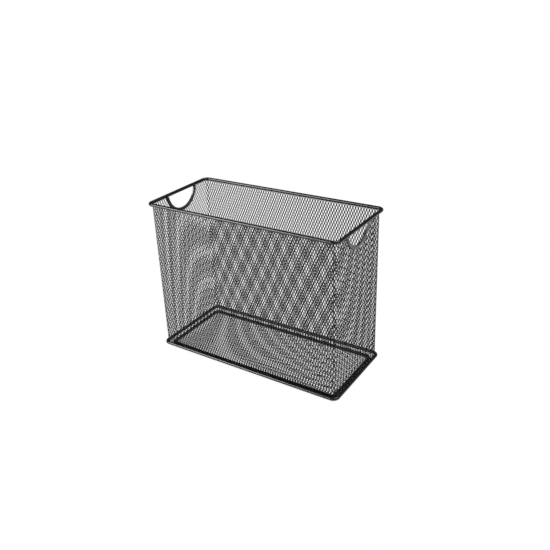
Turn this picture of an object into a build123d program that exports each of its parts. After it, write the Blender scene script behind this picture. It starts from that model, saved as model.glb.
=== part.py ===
from build123d import *

import math
import os

# Magazine file holder: an open-top box of black expanded-steel mesh, hung between
# three rings of round steel rod, with a half-moon hand hole in each end.
# Millimetres. +X along the box, +Y towards the back, +Z up.
# The origin is on the desk, under the middle of the box.

# Rods, over the powder coat
ROD_DIAMETER = 5.2
ROD_RADIUS = ROD_DIAMETER / 2

# Rim and base ring: the centre line of a rounded rectangle
RING_LENGTH = 316.0
RING_WIDTH = 139.0
RING_CORNER = 8.0

# The foot ring is set in under the floor and carries the box
FOOT_END_INSET = 8.6
FOOT_SIDE_INSET = 9.3
FOOT_CORNER = 6.0
FOOT_Z = ROD_RADIUS

# Heights of the other two rings
BASE_STEP = 3.6
BASE_Z = FOOT_Z + BASE_STEP
BASE_TO_RIM = 239.5
RIM_Z = BASE_Z + BASE_TO_RIM

# Expanded mesh, as thick as its twisted strands. At the top the walls hang inside the
# rim; they lean out on the way down and stand on the base ring.
MESH_THICKNESS = 1.3
MESH_LENGTH = RING_LENGTH - ROD_DIAMETER
MESH_WIDTH = RING_WIDTH - ROD_DIAMETER
MESH_CORNER = RING_CORNER - ROD_RADIUS
MESH_LEAN = 1.2
WALL_BOTTOM = BASE_Z + math.sqrt(ROD_RADIUS**2 - (ROD_RADIUS - MESH_LEAN) ** 2)
WALL_HEIGHT = RIM_Z - WALL_BOTTOM
LEAN_ANGLE = math.degrees(math.atan(MESH_LEAN / WALL_HEIGHT))
BEND_START_Y = MESH_WIDTH / 2 - MESH_CORNER
FLOOR_BOTTOM = ROD_DIAMETER
FLOOR_GAP = 0.5

# Folded steel trim round each hand hole: part of a ring centred a little above the
# rim's axis. The holes sit a little off the middle, the same way round the wrap.
TRIM_RADIUS = 30.5
TRIM_FACE = 5.0
TRIM_THICKNESS = 2.7
TRIM_SHEET = 0.7
TRIM_EDGE_ROUND = 0.5
TRIM_TOP_DROP = 1.8
HOLE_RADIUS = TRIM_RADIUS + TRIM_SHEET
HOLE_RAISE = 3.5
HOLE_OFFSET = 3.0
END_MESH_X = MESH_LENGTH / 2 - MESH_THICKNESS / 2

# Larger than the box each way, for trimming
REACH = 2 * RING_LENGTH


def rod_ring(length, width, corner, height):
    """A round rod bent into a rounded rectangle, centred on the given height."""
    path = Plane.XY.offset(height) * RectangleRounded(length, width, corner)
    start = Plane((length / 2, 0, height), x_dir=(1, 0, 0), z_dir=(0, 1, 0))
    return sweep(start * Circle(ROD_RADIUS), path=path.wire())


def wall_outline(grow, height):
    """The walls' outline at a height, larger than the outside of their top by grow."""
    length = MESH_LENGTH + 2 * grow
    width = MESH_WIDTH + 2 * grow
    return Pos(0, 0, height) * RectangleRounded(length, width, MESH_CORNER + grow)


def leaning_block(grow):
    """A solid block whose sides lean like the walls."""
    bottom = wall_outline(MESH_LEAN + grow, WALL_BOTTOM)
    top = wall_outline(grow, RIM_Z)
    return loft([bottom.face(), top.face()])


def mesh_wrap():
    """The four mesh walls as one band, with rounded upright corners."""
    return leaning_block(0) - leaning_block(-MESH_THICKNESS)


def long_wall(side):
    """Front (-1) or back (+1) wall, with the bends at both of its ends."""
    centre_y = side * (BEND_START_Y + REACH / 2)
    return mesh_wrap() & (Pos(0, centre_y, 0) * Box(REACH, REACH, REACH))


def on_end_wall(side, shape):
    """Places a shape made about a hand hole's centre onto the left or right wall."""
    top_middle = Pos(side * END_MESH_X, 0, RIM_Z) * Rot(0, -side * LEAN_ANGLE, 0)
    return top_middle * Pos(0, -side * HOLE_OFFSET, HOLE_RAISE) * shape


def end_wall(side):
    """Left (-1) or right (+1) wall, between the bends, with its hand hole."""
    half = Pos(side * REACH / 2, 0, 0) * Box(REACH, 2 * BEND_START_Y, REACH)
    hole = on_end_wall(side, Rot(0, 90, 0) * Cylinder(HOLE_RADIUS, MESH_CORNER))
    return (mesh_wrap() & half) - hole


def mesh_floor():
    """The floor panel: it lies on the foot ring, just inside the base ring."""
    length = MESH_LENGTH - 2 * FLOOR_GAP
    width = MESH_WIDTH - 2 * FLOOR_GAP
    outline = RectangleRounded(length, width, MESH_CORNER - FLOOR_GAP)
    return Pos(0, 0, FLOOR_BOTTOM) * extrude(outline, MESH_THICKNESS)


def handle_trim(side):
    """Folded strip round a hand hole: it grips the cut edge of the end wall."""
    section = RectangleRounded(TRIM_THICKNESS, TRIM_FACE, TRIM_EDGE_ROUND)
    slot_depth = TRIM_FACE - TRIM_SHEET
    slot = Pos(0, TRIM_SHEET / 2) * Rectangle(MESH_THICKNESS, slot_depth)
    section_plane = Plane((0, 0, 0), x_dir=(1, 0, 0), z_dir=(0, -1, 0))
    profile = section_plane * Pos(0, TRIM_RADIUS + TRIM_FACE / 2) * (section - slot)
    full_ring = revolve(profile, axis=Axis.X, revolution_arc=360)
    cut_height = -HOLE_RAISE - TRIM_TOP_DROP
    above = Pos(0, 0, cut_height + REACH / 2) * Box(REACH, REACH, REACH)
    return on_end_wall(side, full_ring - above)


def single_solid(shape, name):
    """The shape's one solid, labelled with its node name."""
    solids = shape.solids()
    assert len(solids) == 1, f"{name} has {len(solids)} solids"
    solids[0].label = name
    return solids[0]


def build_nodes():
    """Every sub-part by node name."""
    foot_length = RING_LENGTH - 2 * FOOT_END_INSET
    foot_width = RING_WIDTH - 2 * FOOT_SIDE_INSET
    return {
        "top_rim_rod": rod_ring(RING_LENGTH, RING_WIDTH, RING_CORNER, RIM_Z),
        "base_ring_rod": rod_ring(RING_LENGTH, RING_WIDTH, RING_CORNER, BASE_Z),
        "foot_ring_rod": rod_ring(foot_length, foot_width, FOOT_CORNER, FOOT_Z),
        "front_mesh_wall": long_wall(-1),
        "back_mesh_wall": long_wall(1),
        "left_mesh_wall": end_wall(-1),
        "right_mesh_wall": end_wall(1),
        "mesh_floor": mesh_floor(),
        "left_handle_trim": handle_trim(-1),
        "right_handle_trim": handle_trim(1),
    }


os.makedirs("parts", exist_ok=True)
for node_name, node_shape in build_nodes().items():
    export_step(single_solid(node_shape, node_name), f"parts/{node_name}.step")
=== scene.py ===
import math

import bpy
import numpy as np
from mathutils import Matrix, Vector


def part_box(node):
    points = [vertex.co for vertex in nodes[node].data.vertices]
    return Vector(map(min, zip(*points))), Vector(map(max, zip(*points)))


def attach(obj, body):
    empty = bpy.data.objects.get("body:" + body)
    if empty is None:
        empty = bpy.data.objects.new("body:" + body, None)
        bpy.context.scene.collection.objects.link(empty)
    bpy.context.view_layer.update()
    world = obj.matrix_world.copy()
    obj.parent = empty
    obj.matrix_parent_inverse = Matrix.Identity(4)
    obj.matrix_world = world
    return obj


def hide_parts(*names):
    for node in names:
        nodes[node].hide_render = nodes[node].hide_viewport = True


# A mesh magazine file holder. The rods and hand-hole trims are the CAD's own nodes with
# a powder-coat finish. Each mesh panel is replaced by real expanded metal: zigzag
# strands that touch their neighbours left and right in turn. Metres throughout.

# Expanded metal. At each bond, two strands run side by side for the bond's length, and
# their middles are the bond's spread apart, in strand widths.
DIAMOND_WIDTH = 0.00437
DIAMOND_HEIGHT = 0.00927
STRAND_WIDTH = 0.00142
STRAND_THICKNESS = 0.00058
BOND_LENGTH = 0.0014
BOND_SPREAD = 0.86
SECTION_CHAMFER = 0.24
STATION_GAP = 0.0001

# How the strands lie in each panel: their twist, and how much of the panel's thickness
# they step through from bond to bond, one way or the other
FRONT_LAY = (math.radians(12), -1.0)
BACK_LAY = (math.radians(1), -1.0)
END_LAY = (math.radians(-16), 1.0)
FLOOR_LAY = (math.radians(14), 0.0)

# Stretched mesh is never quite even: it strays along the wall in long gentle waves. Each
# has its count round the box, its climb in radians a metre, and its starting angle.
DRIFT = 0.0002
DRIFT_WAVES = ((3, 9.0, 0.0), (5, -14.0, 1.1), (8, 20.0, 2.3))

# Hand holes: the trims are parts of a ring centred this far above the rim's axis, and
# the strands end inside the trims' channel
HOLE_RAISE = 0.0035
TRIM_COVER = 0.0022

# The walls' strands end just under the widest part of the rim
STRAND_TOP_DROP = 0.001

# Stage: half the table's size, how far its contact shadows reach, the gain that clears
# them where the table is open, how much it lights the object, and the sky's light
GROUND_SIZE = 30.0
SHADOW_REACH = 0.009
SHADOW_GAIN = 2.8
SHADOW_SAMPLES = 16
GROUND_BOUNCE = 1.1
SKY_LIGHT = 0.08

# Soft boxes: where they stand and look, their side in metres, and their power in watts
LIGHT_AIM = (0, 0, 0.1)
KEY_PLACE = (-1.3, -1.7, 1.05)
KEY_SIZE = 1.0
KEY_POWER = 54
TOP_PLACE = (0.8, 0.5, 2.1)
TOP_SIZE = 1.4
TOP_POWER = 40

# Camera
CAMERA_AZIMUTH = math.radians(34.66)
CAMERA_ELEVATION = math.radians(26.5)
CAMERA_ROLL = math.radians(-2.67)
CAMERA_DISTANCE = 0.987
CAMERA_LENS = 42.32
CAMERA_SENSOR = 36.0
CAMERA_SHIFT_X = 0.0172
CAMERA_SHIFT_Y = 0.0102

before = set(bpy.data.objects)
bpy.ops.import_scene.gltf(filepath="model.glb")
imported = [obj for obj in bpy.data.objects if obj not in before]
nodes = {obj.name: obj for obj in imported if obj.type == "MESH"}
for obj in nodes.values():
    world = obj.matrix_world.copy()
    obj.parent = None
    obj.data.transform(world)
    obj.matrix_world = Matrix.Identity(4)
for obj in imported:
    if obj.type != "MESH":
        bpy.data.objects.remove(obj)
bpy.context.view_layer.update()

rim_low, rim_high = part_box("top_rim_rod")
base_low, base_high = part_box("base_ring_rod")
front_low, front_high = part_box("front_mesh_wall")
back_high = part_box("back_mesh_wall")[1]
right_low, right_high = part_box("right_mesh_wall")
floor_low, floor_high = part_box("mesh_floor")

RIM_HEIGHT = (rim_low.z + rim_high.z) / 2
PANEL_THICKNESS = floor_high.z - floor_low.z
WALL_BOTTOM = front_low.z
WALL_TOP = front_high.z

# Middle surface of the band that the four walls make, at its top. The walls lean out
# towards the bottom.
WALL_LEAN = right_high.x - right_low.x - PANEL_THICKNESS
MID_X = right_low.x + PANEL_THICKNESS / 2
MID_Y = back_high.y - WALL_LEAN - PANEL_THICKNESS / 2
END_HALF = right_high.y
BEND_RADIUS = MID_Y - END_HALF
LONG_HALF = MID_X - BEND_RADIUS
ARC = BEND_RADIUS * math.pi / 2


# ---------------------------------------------------------------- materials

# Powder coat: noise scales per metre for its tint, gloss and orange peel
TINT_SCALE = 35
GLOSS_SCALE = 260
PEEL_SCALE = 1100
GLOSS_RANGE = 0.06
PEEL_STRENGTH = 0.5
DARK_TINT = (0.8, 0.8, 0.8)
LIGHT_TINT = (1.25, 1.22, 1.18)
NOISE_LOW = 0.3
NOISE_HIGH = 0.7


def new_material(name):
    """An empty node material with its Principled shader."""
    material = bpy.data.materials.new(name)
    material.use_nodes = True
    return material, material.node_tree, material.node_tree.nodes["Principled BSDF"]


def noise(tree, coords, scale, detail):
    """A noise texture in object space, with features about 1/scale metres apart."""
    node = tree.nodes.new("ShaderNodeTexNoise")
    node.inputs["Scale"].default_value = scale
    node.inputs["Detail"].default_value = detail
    tree.links.new(coords.outputs["Object"], node.inputs["Vector"])
    return node


def spread(tree, source, low, high):
    """Maps the range where most of a noise texture lies onto low..high."""
    node = tree.nodes.new("ShaderNodeMapRange")
    node.inputs["From Min"].default_value = NOISE_LOW
    node.inputs["From Max"].default_value = NOISE_HIGH
    node.inputs["To Min"].default_value = low
    node.inputs["To Max"].default_value = high
    tree.links.new(source.outputs["Fac"], node.inputs["Value"])
    return node


def shade(grey, tint):
    """A grey with a slight tint, as a colour socket takes it."""
    return tuple(grey * value for value in tint) + (1,)


def powder_coat(name, grey, roughness, specular, peel_depth):
    """Black powder coat: orange peel, and a tint and gloss that vary a little."""
    material, tree, shader = new_material(name)
    shader.inputs["Specular IOR Level"].default_value = specular
    coords = tree.nodes.new("ShaderNodeTexCoord")

    cloud = noise(tree, coords, TINT_SCALE, detail=3)
    tint = tree.nodes.new("ShaderNodeMix")
    tint.data_type = "RGBA"
    tint.inputs["A"].default_value = shade(grey, DARK_TINT)
    tint.inputs["B"].default_value = shade(grey, LIGHT_TINT)
    tree.links.new(cloud.outputs["Fac"], tint.inputs["Factor"])
    tree.links.new(tint.outputs["Result"], shader.inputs["Base Color"])

    gloss = noise(tree, coords, GLOSS_SCALE, detail=2)
    rough = spread(tree, gloss, roughness - GLOSS_RANGE, roughness + GLOSS_RANGE)
    tree.links.new(rough.outputs["Result"], shader.inputs["Roughness"])

    peel = noise(tree, coords, PEEL_SCALE, detail=2)
    bump = tree.nodes.new("ShaderNodeBump")
    bump.inputs["Strength"].default_value = PEEL_STRENGTH
    bump.inputs["Distance"].default_value = peel_depth
    tree.links.new(peel.outputs["Fac"], bump.inputs["Height"])
    tree.links.new(bump.outputs["Normal"], shader.inputs["Normal"])
    return material


ROD_COAT = powder_coat(
    "rod_powder_coat", grey=0.006, roughness=0.28, specular=0.5, peel_depth=0.000025
)
TRIM_COAT = powder_coat(
    "trim_powder_coat", grey=0.012, roughness=0.36, specular=0.85, peel_depth=0.000025
)
MESH_COAT = powder_coat(
    "mesh_powder_coat", grey=0.005, roughness=0.32, specular=0.3, peel_depth=0.00003
)


def finish_node(name, material):
    """Gives a CAD node its detailed finish."""
    for slot in nodes[name].material_slots:
        slot.material = material


for rod_name in ("top_rim_rod", "base_ring_rod", "foot_ring_rod"):
    finish_node(rod_name, ROD_COAT)
for trim_name in ("left_handle_trim", "right_handle_trim"):
    finish_node(trim_name, TRIM_COAT)


# ---------------------------------------------------------- expanded metal


def strand_section(tilt):
    """A strand's six-sided cross-section: across the sheet, then out of it."""
    half_width = STRAND_WIDTH / 2
    half_thickness = STRAND_THICKNESS / 2
    inset = half_width - SECTION_CHAMFER * STRAND_WIDTH
    across = np.array([half_width, inset, -inset, -half_width, -inset, inset])
    out = np.array([0, half_thickness, half_thickness, 0, -half_thickness, -half_thickness])
    turn = np.array(
        [
            [math.cos(tilt), -math.sin(tilt)],
            [math.sin(tilt), math.cos(tilt)],
        ]
    )
    return turn @ np.stack([across, out])


def strand_rings(index, spacing, low, high, step_out):
    """One zigzag strand from low to high: how far each ring is along, across and out."""
    half_height = DIAMOND_HEIGHT / 2
    swing = spacing / 2 - BOND_SPREAD * STRAND_WIDTH / 2
    first = math.floor(low / half_height) - 1
    last = math.ceil(high / half_height) + 1
    rows = np.arange(first, last + 1)
    side = np.where((rows + index) % 2 == 0, 1.0, -1.0)
    along = np.stack([rows * half_height - BOND_LENGTH / 2, rows * half_height + BOND_LENGTH / 2], 1)
    across = np.repeat(side * swing, 2)
    out = np.repeat(side * step_out, 2)
    along = along.ravel()
    inner = along[(along > low + STATION_GAP) & (along < high - STATION_GAP)]
    stations = np.concatenate([[low], inner, [high]])
    return stations, np.interp(stations, along, across), np.interp(stations, along, out)


def strand_mesh(name, strands, place):
    """A panel's strands as one mesh. place maps across, along and out to a point."""
    points = []
    faces = []
    start = 0
    for index, centre, spacing, low, high, (tilt, step) in strands:
        section = strand_section(tilt)
        sides = section.shape[1]
        room = PANEL_THICKNESS - (section[1].max() - section[1].min())
        along, across, out = strand_rings(index, spacing, low, high, step * room / 2)
        rings = len(along)
        ring_across = (centre + across)[:, None] + section[0][None]
        ring_out = out[:, None] + section[1][None]
        ring_along = np.repeat(along[:, None], sides, 1)
        points.append(place(ring_across.ravel(), ring_along.ravel(), ring_out.ravel()))
        for ring in range(rings - 1):
            here = start + ring * sides
            for side in range(sides):
                after = (side + 1) % sides
                faces.append((here + side, here + after, here + sides + after, here + sides + side))
        faces.append(tuple(start + side for side in reversed(range(sides))))
        faces.append(tuple(start + (rings - 1) * sides + side for side in range(sides)))
        start += rings * sides
    mesh = bpy.data.meshes.new(name)
    mesh.from_pydata(np.concatenate(points).tolist(), [], faces)
    mesh.shade_smooth()
    mesh.materials.append(MESH_COAT)
    piece = bpy.data.objects.new(name, mesh)
    bpy.context.scene.collection.objects.link(piece)
    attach(piece, "root")
    return piece


def drift(turn, height):
    """How far the mesh strays sideways. turn is the angle round the box."""
    return DRIFT * sum(
        np.sin(count * turn + climb * height + start) for count, climb, start in DRIFT_WAVES
    )


def wrap_place(distance, height, out):
    """A point on the four walls' band: distance runs from the right wall's front edge,
    anticlockwise seen from above, and out is towards the outside."""
    out = out + WALL_LEAN * (WALL_TOP - height) / (WALL_TOP - WALL_BOTTOM)
    straights = (2 * END_HALF, 2 * LONG_HALF, 2 * END_HALF, 2 * LONG_HALF)
    corners = ((MID_X, -END_HALF), (LONG_HALF, MID_Y), (-MID_X, END_HALF), (-LONG_HALF, -MID_Y))
    total = sum(straights) + 4 * ARC
    distance = np.mod(distance + drift(2 * math.pi * distance / total, height), total)
    points = np.zeros((len(distance), 3))
    points[:, 2] = height
    begin = 0.0
    for quarter, (straight, corner) in enumerate(zip(straights, corners)):
        heading = math.pi / 2 * (quarter + 1)
        run = np.clip(distance - begin, 0, straight)
        turn = np.clip(distance - begin - straight, 0, ARC) / BEND_RADIUS
        here = (distance >= begin) & (distance <= begin + straight + ARC)
        direction = np.array([math.cos(heading), math.sin(heading)])
        normal_angle = heading - math.pi / 2 + turn
        normal = np.stack([np.cos(normal_angle), np.sin(normal_angle)], 1)
        flat_normal = np.array([math.cos(heading - math.pi / 2), math.sin(heading - math.pi / 2)])
        on_line = np.array(corner) + run[:, None] * direction
        bend_centre = on_line - flat_normal * BEND_RADIUS
        spot = bend_centre + normal * (BEND_RADIUS + out[:, None])
        points[here, :2] = spot[here]
        begin += straight + ARC
    return points


def strand_top(centre, hole):
    """The height where a strand ends: the rim, or the edge of the hand hole below it."""
    under_rim = WALL_TOP - STRAND_TOP_DROP
    if hole is None or abs(centre - hole["centre"]) >= hole["radius"]:
        return under_rim
    drop = math.sqrt(hole["radius"] ** 2 - (centre - hole["centre"]) ** 2)
    return min(under_rim, RIM_HEIGHT + HOLE_RAISE - drop)


def wall_lay(distance):
    """How the strands lie at a distance round the band. It changes round the bends."""
    flats = (
        (0.0, 2 * END_HALF, END_LAY),
        (2 * END_HALF + ARC, 2 * LONG_HALF, BACK_LAY),
        (2 * END_HALF + 2 * LONG_HALF + 2 * ARC, 2 * END_HALF, END_LAY),
        (4 * END_HALF + 2 * LONG_HALF + 3 * ARC, 2 * LONG_HALF, FRONT_LAY),
        (4 * END_HALF + 4 * LONG_HALF + 4 * ARC, 0.0, END_LAY),
    )
    stations = [place for begin, length, lay in flats for place in (begin, begin + length)]
    tilts, steps = np.repeat([lay for begin, length, lay in flats], 2, axis=0).T
    return np.interp(distance, stations, tilts), np.interp(distance, stations, steps)


def wall_strands(first, last, spacing, hole):
    """The strands of one wall, from one distance round the band to another."""
    strands = []
    for index in range(math.ceil(first / spacing - 0.5), math.ceil(last / spacing - 0.5)):
        centre = (index + 0.5) * spacing
        top = strand_top(centre, hole)
        strands.append((index, centre, spacing, WALL_BOTTOM, top, wall_lay(centre)))
    return strands


def hand_hole(trim_name, wall_middle, direction):
    """A hand hole's centre along the band, and the radius where its strands end."""
    trim_low, trim_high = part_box(trim_name)
    trim_radius = RIM_HEIGHT + HOLE_RAISE - trim_low.z
    offset = direction * (trim_low.y + trim_high.y) / 2
    return {"centre": wall_middle + offset, "radius": trim_radius - TRIM_COVER}


def build_walls():
    """The band's strands, shared out between the four wall nodes."""
    around = 4 * (END_HALF + LONG_HALF + ARC)
    diamonds = round(around / DIAMOND_WIDTH)
    spacing = around / (2 * diamonds)
    end, side = 2 * END_HALF, 2 * LONG_HALF + 2 * ARC
    right_hole = hand_hole("right_handle_trim", END_HALF, 1)
    left_hole = hand_hole("left_handle_trim", end + side + END_HALF, -1)
    spans = (
        ("right_mesh_wall", 0.0, end, right_hole),
        ("back_mesh_wall", end, end + side, None),
        ("left_mesh_wall", end + side, 2 * end + side, left_hole),
        ("front_mesh_wall", 2 * end + side, around, None),
    )
    for node, first, last, hole in spans:
        strands = wall_strands(first, last, spacing, hole)
        piece = strand_mesh(f"{node}_strands", strands, wrap_place)
        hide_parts(node)


def build_floor():
    """The floor's strands run front to back."""
    half_x = floor_high.x
    half_y = floor_high.y
    corner = half_x - LONG_HALF
    count = 2 * round(2 * half_x / DIAMOND_WIDTH)
    spacing = 2 * half_x / count
    middle = (floor_low.z + floor_high.z) / 2
    strands = []
    for index in range(count):
        centre = (index + 0.5) * spacing - half_x
        past = max(0.0, abs(centre) - (half_x - corner))
        reach = half_y - corner + math.sqrt(max(0.0, corner**2 - past**2))
        strands.append((index, centre, spacing, -reach, reach, FLOOR_LAY))

    def place(across, along, out):
        return np.stack([across, along, middle + out], 1)

    piece = strand_mesh("mesh_floor_strands", strands, place)
    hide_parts("mesh_floor")


build_walls()
build_floor()


# ------------------------------------------------------------------- stage


def light_path_mix(tree, output, unseen, seen):
    """Sends camera rays to one shader and all other rays to another."""
    path = tree.nodes.new("ShaderNodeLightPath")
    mix = tree.nodes.new("ShaderNodeMixShader")
    tree.links.new(path.outputs["Is Camera Ray"], mix.inputs["Fac"])
    tree.links.new(unseen.outputs[0], mix.inputs[1])
    tree.links.new(seen.outputs[0], mix.inputs[2])
    tree.links.new(mix.outputs["Shader"], output.inputs["Surface"])


def diffuse(tree, brightness):
    """A matt grey shader."""
    node = tree.nodes.new("ShaderNodeBsdfDiffuse")
    node.inputs["Color"].default_value = (brightness, brightness, brightness, 1)
    return node


def shadowed_white(tree):
    """White that darkens only where the object closes off the table from the light."""
    openness = tree.nodes.new("ShaderNodeAmbientOcclusion")
    openness.samples = SHADOW_SAMPLES
    openness.inputs["Distance"].default_value = SHADOW_REACH
    gain = tree.nodes.new("ShaderNodeMath")
    gain.operation = "MULTIPLY"
    gain.use_clamp = True
    gain.inputs[1].default_value = SHADOW_GAIN
    tree.links.new(openness.outputs["AO"], gain.inputs[0])
    node = tree.nodes.new("ShaderNodeEmission")
    tree.links.new(gain.outputs["Value"], node.inputs["Strength"])
    return node


def background(tree, brightness):
    """A grey sky shader."""
    node = tree.nodes.new("ShaderNodeBackground")
    node.inputs["Color"].default_value = (brightness, brightness, brightness, 1)
    return node


def build_ground():
    """A plain white table top, overexposed to the camera except in contact shadows, and
    a dimmer grey to the object."""
    mesh = bpy.data.meshes.new("ground")
    corners = [(-1, -1, 0), (1, -1, 0), (1, 1, 0), (-1, 1, 0)]
    points = [tuple(GROUND_SIZE * value for value in corner) for corner in corners]
    mesh.from_pydata(points, [], [(0, 1, 2, 3)])
    ground = bpy.data.objects.new("ground", mesh)
    bpy.context.scene.collection.objects.link(ground)
    material = bpy.data.materials.new("white_table")
    material.use_nodes = True
    tree = material.node_tree
    tree.nodes.clear()
    output = tree.nodes.new("ShaderNodeOutputMaterial")
    light_path_mix(tree, output, diffuse(tree, GROUND_BOUNCE), shadowed_white(tree))
    mesh.materials.append(material)


def build_world():
    """White to the camera, dim to the object."""
    world = bpy.data.worlds.new("studio")
    bpy.context.scene.world = world
    world.use_nodes = True
    tree = world.node_tree
    tree.nodes.clear()
    output = tree.nodes.new("ShaderNodeOutputWorld")
    light_path_mix(tree, output, background(tree, SKY_LIGHT), background(tree, 1.0))


def soft_box(name, place, size, power):
    """A square area light that looks at the object."""
    data = bpy.data.lights.new(name, "AREA")
    data.shape = "SQUARE"
    data.size = size
    data.energy = power
    light = bpy.data.objects.new(name, data)
    light.location = place
    light.rotation_euler = (Vector(LIGHT_AIM) - Vector(place)).to_track_quat("-Z", "Y").to_euler()
    bpy.context.scene.collection.objects.link(light)


def build_camera():
    """The camera stands front right, above the rim, and looks at the box's middle."""
    target = Vector((0, 0, (RIM_HEIGHT + (base_low.z + base_high.z) / 2) / 2))
    outward = Vector(
        (
            math.cos(CAMERA_ELEVATION) * math.sin(CAMERA_AZIMUTH),
            -math.cos(CAMERA_ELEVATION) * math.cos(CAMERA_AZIMUTH),
            math.sin(CAMERA_ELEVATION),
        )
    )
    data = bpy.data.cameras.new("camera")
    data.sensor_width = CAMERA_SENSOR
    data.lens = CAMERA_LENS
    data.shift_x = CAMERA_SHIFT_X
    data.shift_y = CAMERA_SHIFT_Y
    camera = bpy.data.objects.new("camera", data)
    bpy.context.scene.collection.objects.link(camera)
    facing = (-outward).to_track_quat("-Z", "Y").to_matrix().to_4x4()
    roll = Matrix.Rotation(CAMERA_ROLL, 4, "Z")
    place = Matrix.Translation(target + outward * CAMERA_DISTANCE)
    camera.matrix_world = place @ facing @ roll
    bpy.context.scene.camera = camera


build_ground()
build_world()
soft_box("key", KEY_PLACE, KEY_SIZE, KEY_POWER)
soft_box("top", TOP_PLACE, TOP_SIZE, TOP_POWER)
build_camera()
bpy.context.scene.view_settings.view_transform = "Standard"
